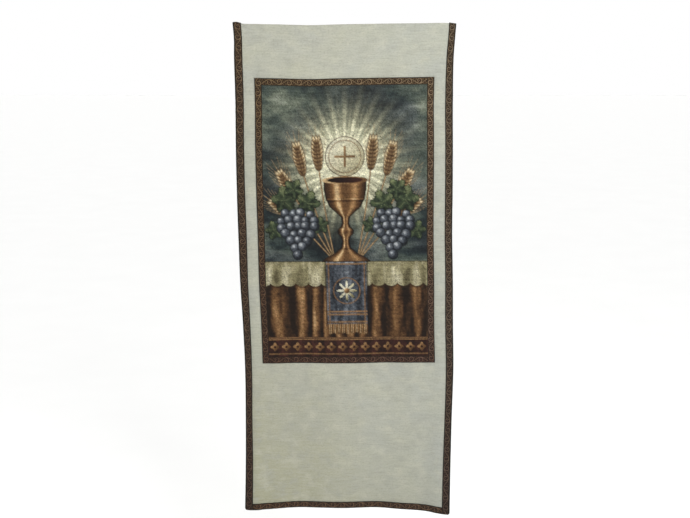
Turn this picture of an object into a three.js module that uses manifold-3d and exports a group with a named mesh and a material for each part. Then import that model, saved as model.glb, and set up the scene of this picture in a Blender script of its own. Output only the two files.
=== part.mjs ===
// A long, narrow church hanging: a ribbed cream cloth with its top turned over to the back,
// a woven picture panel sewn on its face, and a brown scroll braid along its sides and lower edge.
// Millimetres, +Z up. The face looks along -Y, and +X is to the viewer's right. The origin is the
// inside of the fold at the middle of the top edge, where the cloth bears on what carries it.

import * as THREE from "three";
import { mergeVertices } from "three/addons/utils/BufferGeometryUtils.js";
import Module from "manifold-3d";

// Driving sizes
const OVERALL_WIDTH = 500;
const FALL = 1153;
const TURNOVER = 140;
const FOLD_ROOM = 2;
const CLOTH_THICKNESS = 1.2;
const PANEL_THICKNESS = 1.2;
const BRAID_THICKNESS = 1;
const BRAID_WIDTH = 18;
const LOWER_BRAID_WIDTH = 16;
const SEAM_GAP = 0.3;
const PANEL = { halfWidth: 206.5, top: 119.5, bottom: 786 };

// Outline of the hanging front, from the top edge down: the outer edges of the two side braids,
// and how wide each braid shows there.
const OUTLINE = [
  { down: 0, left: -253.5, right: 248.5, leftBraid: 19, rightBraid: 16 },
  { down: 36, left: -251, right: 246, leftBraid: 18.5, rightBraid: 15.5 },
  { down: 70, left: -251.5, right: 244, leftBraid: 19, rightBraid: 16 },
  { down: 170, left: -250.5, right: 244, leftBraid: 19.5, rightBraid: 18 },
  { down: 270, left: -251.5, right: 246, leftBraid: 19.5, rightBraid: 18 },
  { down: 375, left: -251, right: 247.5, leftBraid: 19.5, rightBraid: 18 },
  { down: 480, left: -249.5, right: 248.5, leftBraid: 20, rightBraid: 18 },
  { down: 585, left: -247.5, right: 252, leftBraid: 19, rightBraid: 18.5 },
  { down: 695, left: -242.5, right: 254.5, leftBraid: 18, rightBraid: 19 },
  { down: 805, left: -239.5, right: 257.5, leftBraid: 17, rightBraid: 18.5 },
  { down: 915, left: -240, right: 255.5, leftBraid: 16.5, rightBraid: 17.5 },
  { down: 1030, left: -241.5, right: 253.5, leftBraid: 18, rightBraid: 18.5 },
  { down: 1155, left: -244.5, right: 251.5, leftBraid: 19, rightBraid: 19 },
];

// Height of the top edge above its mean line, across the cloth. The left braid stands up a little.
const TOP_EDGE = [
  { across: -250, rise: 3 },
  { across: -243, rise: 4.2 },
  { across: -232, rise: 1.8 },
  { across: -195, rise: 0.5 },
  { across: -148, rise: -0.4 },
  { across: -75, rise: -2 },
  { across: -20, rise: -0.4 },
  { across: 60, rise: 1 },
  { across: 168, rise: 2.3 },
  { across: 232, rise: 2.5 },
  { across: 250, rise: 0.3 },
];
const SETTLES = { from: 130, to: 620 };
const RIGHT_SIDE_RISE = 1.5;

// Lower edge, across the cloth: how far it swings forward, and how far it drops.
const LOWER_EDGE = [
  { across: -250, forward: 15, drop: -2.6 },
  { across: -243, forward: 14, drop: -1.6 },
  { across: -225, forward: 11.5, drop: -0.9 },
  { across: -200, forward: 8, drop: -0.6 },
  { across: -115, forward: 0, drop: -1 },
  { across: 0, forward: 2, drop: -1 },
  { across: 65, forward: 0, drop: 0 },
  { across: 120, forward: 5, drop: 1.5 },
  { across: 180, forward: 15, drop: 1.5 },
  { across: 220, forward: 26, drop: 2.8 },
  { across: 246, forward: 33, drop: 5.4 },
  { across: 250, forward: 34, drop: 5 },
];
const SWING_FROM = 820;

// Soft upright folds in the fall. Each fades in between two heights below the top edge.
const FOLDS = [
  { across: -222, forward: 2.5, spread: 26, from: 20, full: 260 },
  { across: -130, forward: -3, spread: 70, from: 60, full: 900 },
  { across: -20, forward: 3.5, spread: 80, from: 160, full: 1000 },
  { across: 95, forward: -3, spread: 60, from: 200, full: 800 },
  { across: 222, forward: 3, spread: 26, from: 20, full: 240 },
];

// Creases across the cloth, left from when it lay folded away.
const CREASES = [
  { down: 158, forward: 1.6 },
  { down: 995, forward: 1.4 },
];
const CREASE_SPREAD = 18;

// Sizes that follow from the driving ones
const HALF_WIDTH = OVERALL_WIDTH / 2;
const CLOTH_HALF_WIDTH = HALF_WIDTH - BRAID_THICKNESS - SEAM_GAP;
const CLOTH_FALL = FALL - BRAID_THICKNESS - SEAM_GAP;
const BRAID_INNER = HALF_WIDTH - BRAID_WIDTH;
const LOWER_BRAID_TOP = FALL - LOWER_BRAID_WIDTH;
const CLOTH_FACE = CLOTH_THICKNESS / 2;
const CLOTH_BACK = -CLOTH_THICKNESS / 2;
const SEWN_ON = CLOTH_FACE + SEAM_GAP;
const PANEL_FACE = SEWN_ON + PANEL_THICKNESS;
const BRAID_FACE = SEWN_ON + BRAID_THICKNESS;
const FOLD_RADIUS = FOLD_ROOM / 2 + CLOTH_THICKNESS / 2;
const QUARTER_TURN = (FOLD_RADIUS * Math.PI) / 2;

// A smooth curve through one column of a table
function curve(table, key, column) {
  const places = table.map((row) => row[key]);
  const values = table.map((row) => row[column]);
  const spline = new THREE.CubicInterpolant(places, values, 1, [0]);
  const first = places[0];
  const last = places[places.length - 1];
  return (at) => spline.evaluate(THREE.MathUtils.clamp(at, first, last))[0];
}

const leftEdge = curve(OUTLINE, "down", "left");
const rightEdge = curve(OUTLINE, "down", "right");
const leftBraid = curve(OUTLINE, "down", "leftBraid");
const rightBraid = curve(OUTLINE, "down", "rightBraid");
const topRise = curve(TOP_EDGE, "across", "rise");
const edgeForward = curve(LOWER_EDGE, "across", "forward");
const edgeDrop = curve(LOWER_EDGE, "across", "drop");

// A soft ridge, one high at its middle and level at its ends
function ridge(distance, spread) {
  if (Math.abs(distance) >= spread) {
    return 0;
  }
  return (1 + Math.cos((Math.PI * distance) / spread)) / 2;
}

// Share of the lower edge's swing at a height, steepest at the edge itself
function swingAt(down) {
  const share = Math.max(0, (down - SWING_FROM) / (FALL - SWING_FROM));
  return share ** 2;
}

// How far the fall stands forward of a plumb sheet
function forwardOf(across, down) {
  let forward = 0;
  for (const fold of FOLDS) {
    const strength = THREE.MathUtils.smoothstep(down, fold.from, fold.full);
    forward += fold.forward * strength * ridge(across - fold.across, fold.spread);
  }
  for (const crease of CREASES) {
    forward += crease.forward * ridge(down - crease.down, CREASE_SPREAD);
  }
  return forward + edgeForward(across) * swingAt(down);
}

// How far a line across the cloth lies above its level place
function liftOf(across, down) {
  const settled = THREE.MathUtils.smoothstep(down, SETTLES.from, SETTLES.to);
  const tilt = (RIGHT_SIDE_RISE * across) / HALF_WIDTH;
  return topRise(across) * (1 - settled) + tilt * settled - edgeDrop(across) * swingAt(down);
}

// Sideways place of a line down the cloth. The braids keep their own shown widths.
function sideways(across, down) {
  const left = leftEdge(down);
  const right = rightEdge(down);
  const leftInner = left + leftBraid(down);
  const rightInner = right - rightBraid(down);
  if (across < -BRAID_INNER) {
    return THREE.MathUtils.mapLinear(across, -HALF_WIDTH, -BRAID_INNER, left, leftInner);
  }
  if (across > BRAID_INNER) {
    return THREE.MathUtils.mapLinear(across, BRAID_INNER, HALF_WIDTH, rightInner, right);
  }
  return THREE.MathUtils.mapLinear(across, -BRAID_INNER, BRAID_INNER, leftInner, rightInner);
}

// A point on the middle surface of the ground cloth. Along is the length from the top of the
// fold: more than nothing down the front, less than nothing down the back.
function middlePoint(across, along) {
  const down = Math.abs(along);
  let y = -Math.sign(along) * FOLD_RADIUS;
  let z = QUARTER_TURN - FOLD_RADIUS - down;
  if (down < QUARTER_TURN) {
    const turn = along / FOLD_RADIUS;
    y = -FOLD_RADIUS * Math.sin(turn);
    z = FOLD_RADIUS * (Math.cos(turn) - 1);
  }
  y -= forwardOf(across, down);
  z += CLOTH_THICKNESS / 2 + liftOf(across, down);
  return new THREE.Vector3(sideways(across, down), y, z);
}

// The same point moved out of the cloth's face by an offset
function clothPoint(across, along, offset) {
  const step = 0.4;
  const alongCloth = middlePoint(across, along + step).sub(middlePoint(across, along - step));
  const acrossCloth = middlePoint(across + step, along).sub(middlePoint(across - step, along));
  const outward = alongCloth.cross(acrossCloth).normalize();
  return middlePoint(across, along).addScaledVector(outward, offset);
}

// Lines from a first place through the stops of a table, each stretch in equal steps
function lines(first, stops) {
  const places = [first];
  for (const stop of stops) {
    const from = places[places.length - 1];
    for (let step = 1; step <= stop.steps; step += 1) {
      places.push(THREE.MathUtils.lerp(from, stop.to, step / stop.steps));
    }
  }
  return places;
}

// A closed sheet between two offsets from the middle surface, on a grid of lines
function sheet(acrossLines, alongLines, inner, outer) {
  const columns = acrossLines.length;
  const rows = alongLines.length;
  const points = [];
  for (const offset of [outer, inner]) {
    for (const along of alongLines) {
      for (const across of acrossLines) {
        points.push(...clothPoint(across, along, offset).toArray());
      }
    }
  }
  const face = (row, column) => row * columns + column;
  const back = (row, column) => rows * columns + face(row, column);
  const triangles = [];
  const quad = (a, b, c, d) => triangles.push(a, b, c, a, c, d);
  for (let row = 0; row < rows - 1; row += 1) {
    for (let column = 0; column < columns - 1; column += 1) {
      const corners = [[row, column], [row + 1, column], [row + 1, column + 1], [row, column + 1]];
      quad(...corners.map(([r, c]) => face(r, c)));
      quad(...corners.reverse().map(([r, c]) => back(r, c)));
    }
  }
  for (let column = 0; column < columns - 1; column += 1) {
    const next = column + 1;
    const end = rows - 1;
    quad(face(0, column), face(0, next), back(0, next), back(0, column));
    quad(face(end, next), face(end, column), back(end, column), back(end, next));
  }
  for (let row = 0; row < rows - 1; row += 1) {
    const next = row + 1;
    const end = columns - 1;
    quad(face(next, 0), face(row, 0), back(row, 0), back(next, 0));
    quad(face(row, end), face(next, end), back(next, end), back(row, end));
  }
  const geometry = new THREE.BufferGeometry();
  geometry.setAttribute("position", new THREE.Float32BufferAttribute(points, 3));
  geometry.setIndex(triangles);
  return geometry;
}

const wasm = await Module();
wasm.setup();

function toSolid(geometry) {
  const merged = mergeVertices(geometry, 1e-4);
  return new wasm.Manifold(new wasm.Mesh({
    numProp: 3,
    vertProperties: new Float32Array(merged.attributes.position.array),
    triVerts: new Uint32Array(merged.index.array),
  }));
}

function toGeometry(solid) {
  const mesh = solid.getMesh();
  const geometry = new THREE.BufferGeometry();
  geometry.setAttribute("position", new THREE.BufferAttribute(mesh.vertProperties, 3));
  geometry.setIndex(new THREE.BufferAttribute(mesh.triVerts, 1));
  return geometry;
}

// Grid lines that all the pieces share, so that their faces stay parallel
const FRONT_STOPS = [
  { to: QUARTER_TURN, steps: 6 },
  { to: PANEL.top, steps: 5 },
  { to: CREASES[0].down, steps: 3 },
  { to: CREASES[0].down + CREASE_SPREAD, steps: 2 },
  { to: PANEL.bottom, steps: 21 },
  { to: CREASES[1].down - CREASE_SPREAD, steps: 7 },
  { to: CREASES[1].down + CREASE_SPREAD, steps: 4 },
  { to: LOWER_BRAID_TOP, steps: 5 },
];
const BACK_STOP = { to: -QUARTER_TURN, steps: 5 };
const FALL_STOPS = [BACK_STOP, ...FRONT_STOPS];
const PANEL_STOPS = FRONT_STOPS.slice(2, 5);
const PANEL_ACROSS = lines(-PANEL.halfWidth, [{ to: PANEL.halfWidth, steps: 14 }]);
const BRAID_ACROSS = [BRAID_INNER, HALF_WIDTH - 10, HALF_WIDTH - 4];

function mirrored(places) {
  return places.map((place) => -place).reverse();
}

function makeCloth() {
  const side = [...BRAID_ACROSS, CLOTH_HALF_WIDTH];
  const across = [...mirrored(side), ...PANEL_ACROSS, ...side];
  const along = lines(-TURNOVER, [...FALL_STOPS, { to: CLOTH_FALL, steps: 1 }]);
  return sheet(across, along, CLOTH_BACK, CLOTH_FACE);
}

function makePanel() {
  return sheet(PANEL_ACROSS, lines(PANEL.top, PANEL_STOPS), SEWN_ON, PANEL_FACE);
}

// A braid is a thick strip, rebated where the cloth lies in it, so that it keeps a thin lip
// round the cloth's edge.
function rebated(strip, room) {
  return toGeometry(toSolid(strip).subtract(toSolid(room)));
}

function makeSideBraid(side) {
  const place = side === "left" ? mirrored : (places) => places;
  const stripAlong = lines(-TURNOVER, [...FALL_STOPS, { to: FALL, steps: 1 }]);
  const roomStart = -TURNOVER - BRAID_WIDTH;
  const roomAlong = lines(roomStart, [{ to: -TURNOVER, steps: 1 }, ...FALL_STOPS,
    { to: CLOTH_FALL + SEAM_GAP, steps: 1 }]);
  const stripAcross = place([...BRAID_ACROSS, HALF_WIDTH]);
  const roomAcross = place([BRAID_INNER - BRAID_WIDTH, ...BRAID_ACROSS, CLOTH_HALF_WIDTH + SEAM_GAP]);
  const strip = sheet(stripAcross, stripAlong, CLOTH_BACK, BRAID_FACE);
  const room = sheet(roomAcross, roomAlong, CLOTH_BACK - BRAID_THICKNESS, SEWN_ON);
  return rebated(strip, room);
}

function makeLowerBraid() {
  const end = BRAID_INNER - SEAM_GAP;
  const stripAcross = [-end, ...PANEL_ACROSS, end];
  const roomAcross = [-BRAID_INNER, ...PANEL_ACROSS, BRAID_INNER];
  const roomAlong = [LOWER_BRAID_TOP - BRAID_WIDTH, LOWER_BRAID_TOP, CLOTH_FALL + SEAM_GAP];
  const strip = sheet(stripAcross, [LOWER_BRAID_TOP, FALL], CLOTH_BACK, BRAID_FACE);
  const room = sheet(roomAcross, roomAlong, CLOTH_BACK - BRAID_THICKNESS, SEWN_ON);
  return rebated(strip, room);
}

function piece(name, geometry, color, roughness) {
  const material = new THREE.MeshStandardMaterial({ color, roughness, metalness: 0 });
  const mesh = new THREE.Mesh(geometry, material);
  mesh.name = name;
  return mesh;
}

const hanging = new THREE.Group();
hanging.add(piece("ground_cloth", makeCloth(), 0xbfc0ae, 0.92));
hanging.add(piece("picture_panel", makePanel(), 0x55605a, 0.9));
hanging.add(piece("border_left", makeSideBraid("left"), 0x4f4033, 0.88));
hanging.add(piece("border_right", makeSideBraid("right"), 0x4f4033, 0.88));
hanging.add(piece("border_bottom", makeLowerBraid(), 0x4f4033, 0.88));

export default hanging;
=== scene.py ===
import math

import bpy
import numpy as np
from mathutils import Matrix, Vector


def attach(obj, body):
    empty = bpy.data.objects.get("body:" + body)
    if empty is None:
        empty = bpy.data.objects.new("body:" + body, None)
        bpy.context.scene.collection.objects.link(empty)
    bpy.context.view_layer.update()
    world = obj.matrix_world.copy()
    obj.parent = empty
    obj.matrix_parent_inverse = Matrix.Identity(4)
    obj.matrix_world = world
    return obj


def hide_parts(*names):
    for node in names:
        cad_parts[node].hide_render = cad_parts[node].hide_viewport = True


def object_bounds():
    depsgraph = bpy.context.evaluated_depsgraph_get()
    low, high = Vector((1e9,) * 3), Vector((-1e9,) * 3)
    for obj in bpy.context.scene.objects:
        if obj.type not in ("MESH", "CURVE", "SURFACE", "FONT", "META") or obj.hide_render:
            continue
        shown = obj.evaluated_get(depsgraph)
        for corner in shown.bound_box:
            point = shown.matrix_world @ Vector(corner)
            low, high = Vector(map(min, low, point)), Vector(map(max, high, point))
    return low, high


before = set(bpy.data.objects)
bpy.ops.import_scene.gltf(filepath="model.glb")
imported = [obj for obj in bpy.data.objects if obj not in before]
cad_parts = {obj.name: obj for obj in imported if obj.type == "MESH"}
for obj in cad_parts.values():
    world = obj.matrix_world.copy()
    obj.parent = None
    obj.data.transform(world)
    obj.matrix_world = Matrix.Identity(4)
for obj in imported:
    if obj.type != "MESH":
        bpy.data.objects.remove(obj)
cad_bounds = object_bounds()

# Camera
# It stands a little over two metres in front of the hanging, just below the height of its top
# edge, and looks down by ten degrees through a normal lens.
LENS_MM = 50
SENSOR_MM = 36
CAMERA_PLACE = (-0.0012, -2.209, -0.1462)
LOOKS_DOWN = math.radians(9.95)


def add_object(name, data):
    """A new object in the scene, at the origin"""
    made = bpy.data.objects.new(name, data)
    bpy.context.scene.collection.objects.link(made)
    return made


camera_data = bpy.data.cameras.new("camera")
camera_data.lens = LENS_MM
camera_data.sensor_width = SENSOR_MM
camera = add_object("camera", camera_data)
camera.location = CAMERA_PLACE
camera.rotation_euler = (math.pi / 2 - LOOKS_DOWN, 0, 0)
bpy.context.scene.camera = camera

# Ground cloth
# The long cream cloth that carries the rest: cotton in a plain weave with a fine crosswise rib,
# cut to one length. Its top is turned to the back, its end is hemmed, and its front hangs free.
MM = 0.001
WIDTH = 500 * MM
FALL = 1153 * MM
TURNOVER = 140 * MM
FOLD_ROOM = 2 * MM
CLOTH_THICKNESS = 1.2 * MM
BRAID_THICKNESS = 1 * MM
BRAID_WIDTH = 18 * MM
LOWER_BRAID_WIDTH = 16 * MM
SEAM_GAP = 0.3 * MM
PANEL_HALF_WIDTH = 206.5 * MM
PANEL_TOP = 119.5 * MM
PANEL_BOTTOM = 786 * MM

HALF_WIDTH = WIDTH / 2
CLOTH_HALF_WIDTH = HALF_WIDTH - BRAID_THICKNESS - SEAM_GAP
CLOTH_FALL = FALL - BRAID_THICKNESS - SEAM_GAP
BRAID_INNER = HALF_WIDTH - BRAID_WIDTH
LOWER_BRAID_TOP = FALL - LOWER_BRAID_WIDTH
FOLD_RADIUS = FOLD_ROOM / 2 + CLOTH_THICKNESS / 2
QUARTER_TURN = FOLD_RADIUS * math.pi / 2
CLOTH_FACE = CLOTH_THICKNESS / 2
SEWN_ON = CLOTH_FACE + SEAM_GAP

# Where the front's outer edges hang, and how wide each braid shows, in millimetres
OUTLINE = {
    "down": [0, 36, 70, 170, 270, 375, 480, 585, 695, 805, 915, 1030, 1155],
    "left": [-253.5, -251, -251.5, -250.5, -251.5, -251, -249.5, -247.5, -242.5, -239.5, -240,
             -241.5, -244.5],
    "right": [248.5, 246, 244, 244, 246, 247.5, 248.5, 252, 254.5, 257.5, 255.5, 253.5, 251.5],
    "left_braid": [19, 18.5, 19, 19.5, 19.5, 19.5, 20, 19, 18, 17, 16.5, 18, 19],
    "right_braid": [16, 15.5, 16, 18, 18, 18, 18, 18.5, 19, 18.5, 17.5, 18.5, 19],
}
# Rise of the top edge, and the forward swing and drop of the lower edge
TOP_EDGE = {
    "across": [-250, -243, -232, -195, -148, -75, -20, 60, 168, 232, 250],
    "rise": [3, 4.2, 1.8, 0.5, -0.4, -2, -0.4, 1, 2.3, 2.5, 0.3],
}
LOWER_EDGE = {
    "across": [-250, -243, -225, -200, -115, 0, 65, 120, 180, 220, 246, 250],
    "forward": [15, 14, 11.5, 8, 0, 2, 0, 5, 15, 26, 33, 34],
    "drop": [-2.6, -1.6, -0.9, -0.6, -1, -1, 0, 1.5, 1.5, 2.8, 5.4, 5],
}
# Soft upright folds, and creases across the cloth from when it lay folded away
FOLDS = {
    "across": [-222, -130, -20, 95, 222],
    "forward": [2.5, -3, 3.5, -3, 3],
    "spread": [26, 70, 80, 60, 26],
    "from": [20, 60, 160, 200, 20],
    "full": [260, 900, 1000, 800, 240],
}
CREASES = {"down": [158, 995], "forward": [1.6, 1.4]}
CREASE_SPREAD = 18 * MM
SETTLES = (130 * MM, 620 * MM)
RIGHT_SIDE_RISE = 1.5 * MM
SWING_FROM = 820 * MM

# Slight unevenness of the cloth between its folds: long waves that cross at a slant
UNEVENNESS = {
    "wave_across": [310, -170, 95, 140, -60],
    "wave_down": [420, 260, 330, -120, 150],
    "phase": [0.4, 2.1, 3.7, 5.2, 1.3],
    "height": [0.5, 0.35, 0.25, 0.2, 0.12],
}
PUCKER_PITCH = 16 * MM
PUCKER_HEIGHT = 0.28 * MM
PUCKER_REACH = 13 * MM
FULL_RELIEF_FROM = 60 * MM
HEM_WIDTH = 15 * MM
HEM_THICKNESS = 0.9 * MM
HEM_STEP = 2 * MM
SHARP_ANGLE = math.radians(40)


def smoothstep(value, low, high):
    """A smooth rise from 0 to 1 between two values"""
    share = np.clip((value - low) / (high - low), 0, 1)
    return share * share * (3 - 2 * share)


def curve(table, key, column):
    """A smooth curve through one column of a table in millimetres, as a function in metres"""
    places = np.array(table[key]) * MM
    values = np.array(table[column]) * MM
    steps = np.diff(values) / np.diff(places)
    slopes = np.concatenate([steps[:1], (steps[1:] + steps[:-1]) / 2, steps[-1:]])

    def at(place):
        place = np.clip(place, places[0], places[-1])
        row = np.clip(np.searchsorted(places, place, side="right") - 1, 0, len(places) - 2)
        length = places[row + 1] - places[row]
        t = (place - places[row]) / length
        from_start = (2 * t**3 - 3 * t**2 + 1) * values[row]
        from_end = (3 * t**2 - 2 * t**3) * values[row + 1]
        turned = (t**3 - 2 * t**2 + t) * slopes[row] + (t**3 - t**2) * slopes[row + 1]
        return from_start + from_end + length * turned

    return at


left_edge = curve(OUTLINE, "down", "left")
right_edge = curve(OUTLINE, "down", "right")
left_braid_width = curve(OUTLINE, "down", "left_braid")
right_braid_width = curve(OUTLINE, "down", "right_braid")
top_rise = curve(TOP_EDGE, "across", "rise")
edge_forward = curve(LOWER_EDGE, "across", "forward")
edge_drop = curve(LOWER_EDGE, "across", "drop")


def ridge(distance, spread):
    """A soft ridge, one high at its middle and level at its ends"""
    return np.where(np.abs(distance) < spread, (1 + np.cos(np.pi * distance / spread)) / 2, 0)


def swing_at(down):
    """The share of the lower edge's swing that the cloth has so far down"""
    return np.clip((down - SWING_FROM) / (FALL - SWING_FROM), 0, None) ** 2


def seam_pucker(distance, along, phase):
    """Small ripples that a row of stitches draws up beside itself"""
    drift = 1.7 * np.sin(along / (5 * PUCKER_PITCH) + phase)
    ripple = np.sin(2 * np.pi * along / PUCKER_PITCH + drift)
    return PUCKER_HEIGHT * ripple * np.exp(-((distance / PUCKER_REACH) ** 2))


def fine_relief(across, down):
    """What the solids leave out: slight unevenness, and puckers along the seams"""
    height = np.zeros_like(across + down)
    for wave_across, wave_down, phase, tall in zip(*UNEVENNESS.values()):
        turns = across / (wave_across * MM) + down / (wave_down * MM)
        height = height + tall * MM * np.sin(2 * np.pi * turns + phase)
    for side in (-1, 1):
        height = height + seam_pucker(across - side * BRAID_INNER, down, side)
        beside = smoothstep(down, PANEL_TOP - PUCKER_REACH, PANEL_TOP)
        beside = beside * smoothstep(-down, -PANEL_BOTTOM - PUCKER_REACH, -PANEL_BOTTOM)
        height = height + beside * seam_pucker(across - side * PANEL_HALF_WIDTH, down, 2 + side)
    for line in (PANEL_TOP, PANEL_BOTTOM, LOWER_BRAID_TOP):
        reach = BRAID_INNER if line == LOWER_BRAID_TOP else PANEL_HALF_WIDTH
        inside = smoothstep(reach + PUCKER_REACH - np.abs(across), 0, PUCKER_REACH)
        height = height + inside * seam_pucker(down - line, across, line / WIDTH)
    return height * smoothstep(down, 0, FULL_RELIEF_FROM)


def forward_of(across, down):
    """How far the cloth hangs in front of a flat one"""
    forward = fine_relief(across, down)
    for place, height, spread, start, full in zip(*FOLDS.values()):
        strength = smoothstep(down, start * MM, full * MM)
        forward = forward + height * MM * strength * ridge(across - place * MM, spread * MM)
    for place, height in zip(*CREASES.values()):
        forward = forward + height * MM * ridge(down - place * MM, CREASE_SPREAD)
    return forward + edge_forward(across) * swing_at(down)


def lift_of(across, down):
    """How far the cloth hangs above a level one"""
    settled = smoothstep(down, *SETTLES)
    tilt = RIGHT_SIDE_RISE * across / HALF_WIDTH
    return top_rise(across) * (1 - settled) + tilt * settled - edge_drop(across) * swing_at(down)


def sideways(across, down):
    """Where a place across the flat cloth hangs, so far down"""
    left, right = left_edge(down), right_edge(down)
    left_inner = left + left_braid_width(down)
    right_inner = right - right_braid_width(down)
    in_left = (across + HALF_WIDTH) / BRAID_WIDTH
    in_right = (across - BRAID_INNER) / BRAID_WIDTH
    between = (across + BRAID_INNER) / (2 * BRAID_INNER)
    middle = left_inner + (right_inner - left_inner) * between
    place = np.where(across < -BRAID_INNER, left + (left_inner - left) * in_left, middle)
    return np.where(across > BRAID_INNER, right_inner + (right - right_inner) * in_right, place)


def middle_points(across, along):
    """Points on the cloth's middle surface. Along runs down the front, and negative down the back"""
    down = np.abs(along)
    turn = along / FOLD_RADIUS
    bent = down < QUARTER_TURN
    y = np.where(bent, -FOLD_RADIUS * np.sin(turn), -np.sign(along) * FOLD_RADIUS)
    z = np.where(bent, FOLD_RADIUS * (np.cos(turn) - 1), QUARTER_TURN - FOLD_RADIUS - down)
    y = y - forward_of(across, down)
    z = z + CLOTH_THICKNESS / 2 + lift_of(across, down)
    return np.stack([sideways(across, down), y, z], axis=-1)


def cloth_points(across, along, offset):
    """The same points moved out of the cloth's face by an offset"""
    across, along, offset = np.broadcast_arrays(across, along, offset)
    step = 0.4 * MM
    along_cloth = middle_points(across, along + step) - middle_points(across, along - step)
    across_cloth = middle_points(across + step, along) - middle_points(across - step, along)
    outward = np.cross(along_cloth, across_cloth)
    outward /= np.linalg.norm(outward, axis=-1, keepdims=True)
    return middle_points(across, along) + outward * offset[..., None]


def spaced(stops, spacing):
    """Lines through all the stops, at most a spacing apart"""
    lines = [stops[0]]
    for start, end in zip(stops, stops[1:]):
        count = max(1, math.ceil(abs(end - start) / spacing - 1e-6))
        lines.extend(start + (end - start) * step / count for step in range(1, count + 1))
    return np.array(lines)


def add_mesh(name, points, faces, flat, material):
    """A smooth mesh object with its flat cloth coordinates, in metres, as its UV map"""
    mesh = bpy.data.meshes.new(name)
    mesh.from_pydata(points.tolist(), [], faces)
    corners = np.empty(len(mesh.loops), dtype=np.int32)
    mesh.loops.foreach_get("vertex_index", corners)
    layer = mesh.uv_layers.new(name="flat")
    layer.data.foreach_set("uv", flat[corners].astype(np.float32).ravel())
    mesh.shade_smooth()
    mesh.set_sharp_from_angle(angle=SHARP_ANGLE)
    mesh.materials.append(material)
    return add_object(name, mesh)


def add_sheet(name, across_lines, along_lines, back, face, material, coarse=1):
    """A closed sheet between two offsets, each a number or a function of the place on the cloth. Its
    back takes every coarse-th line of its face"""
    columns, rows = len(across_lines), len(along_lines)
    back_columns = sorted({*range(0, columns, coarse), columns - 1})
    back_rows = sorted({*range(0, rows, coarse), rows - 1})
    across, along = np.meshgrid(across_lines, along_lines)
    kept = np.ix_(back_rows, back_columns)
    points, flat = [], []
    for x, y, offset in ((across, along, face), (across[kept], along[kept], back)):
        points.extend(cloth_points(x, y, offset(x, y) if callable(offset) else offset).reshape(-1, 3))
        flat.extend(np.stack([x, y], -1).reshape(-1, 2))
    at_face = np.arange(rows * columns).reshape(rows, columns)
    at_back = np.arange(rows * columns, len(points)).reshape(len(back_rows), len(back_columns))
    faces = []
    for grid in (at_face, at_back.T):
        corners = (grid[:-1, :-1], grid[1:, :-1], grid[1:, 1:], grid[:-1, 1:])
        faces += np.stack(corners, -1).reshape(-1, 4).tolist()
    for front, behind, stops, first_way in ((at_face, at_back, back_columns, 1),
                                            (at_face.T, at_back.T, back_rows, -1)):
        for edge, way in ((0, first_way), (-1, -first_way)):
            for place, (start, end) in enumerate(zip(stops, stops[1:])):
                along_front, along_back = front[edge, start:end + 1], behind[edge, place:place + 2]
                faces.append(along_front[::way].tolist() + along_back[::-way].tolist())
    return add_mesh(name, np.array(points), faces, np.array(flat), material)


def linear(hex_colour):
    """An sRGB hex colour as linear red, green, blue and alpha"""
    parts = [int(hex_colour[place:place + 2], 16) / 255 for place in (1, 3, 5)]
    return (*[p / 12.92 if p <= 0.04045 else ((p + 0.055) / 1.055) ** 2.4 for p in parts], 1.0)


def fill(made, inputs):
    """Set a node's inputs to values or links: a dictionary by name, or a list of those in use"""
    if isinstance(inputs, dict):
        pairs = [(made.inputs[name], value) for name, value in inputs.items()]
    else:
        pairs = zip([socket for socket in made.inputs if socket.enabled], inputs)
    for socket, value in pairs:
        if isinstance(value, bpy.types.NodeSocket):
            made.id_data.links.new(value, socket)
        else:
            socket.default_value = value


def node(tree, kind, inputs=(), **settings):
    """Add a node with its settings and inputs, and give its first output in use. A kind without Node
    in it is a shader node"""
    made = tree.nodes.new(kind if "Node" in kind else "ShaderNode" + kind)
    for name, value in settings.items():
        setattr(made, name, value)
    fill(made, inputs)
    return next((socket for socket in made.outputs if socket.enabled), made)


def new_material(name):
    """An empty material, with its node tree, shader and output"""
    material = bpy.data.materials.new(name)
    material.use_nodes = True
    tree = material.node_tree
    tree.nodes.clear()
    shader = node(tree, "BsdfPrincipled")
    node(tree, "OutputMaterial", [shader])
    return material, tree, shader.node


# The cotton's patches: their width and height in millimetres, and their noise's detail and roughness
COTTON_PATCHES = {
    "broad": (95, 70, 2, 0.5),
    "slub": (34, 3.6, 4, 0.7),
    "dull": (30, 24, 3, 0.6),
    "pale": (38, 30, 3, 0.6),
    "fleck": (4.4, 3, 2, 0.5),
}
# The tints laid over its colour: where each lies, the values between which it grows, its full share
COTTON_TINTS = (
    ("broad", 0.35, 0.68, 1, "#b2b3a8"),
    # Painted shade: darker and yellower towards the lower left of the cloth
    ("painted_shade_low_left", 0.85, 1.35, 0.85, "#a6a487"),
    # Painted cool light: cooler and a little darker towards the right of the cloth
    ("right", -0.06, 0.25, 0.26, "#a3aaaa"),
    ("dull", 0.47, 0.72, 0.75, "#a5a59a"),
    ("pale", 0.5, 0.78, 0.8, "#c2c2b0"),
    ("slub", 0.42, 0.75, 0.34, "#c8c9bb"),
    ("slub", 0.5, 0.2, 0.38, "#989888"),
    ("fleck", 0.48, 0.78, 0.48, "#919080"),
)
RIB_PITCH = 3.2 * MM
WARP_PITCH = 2.1 * MM


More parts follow.
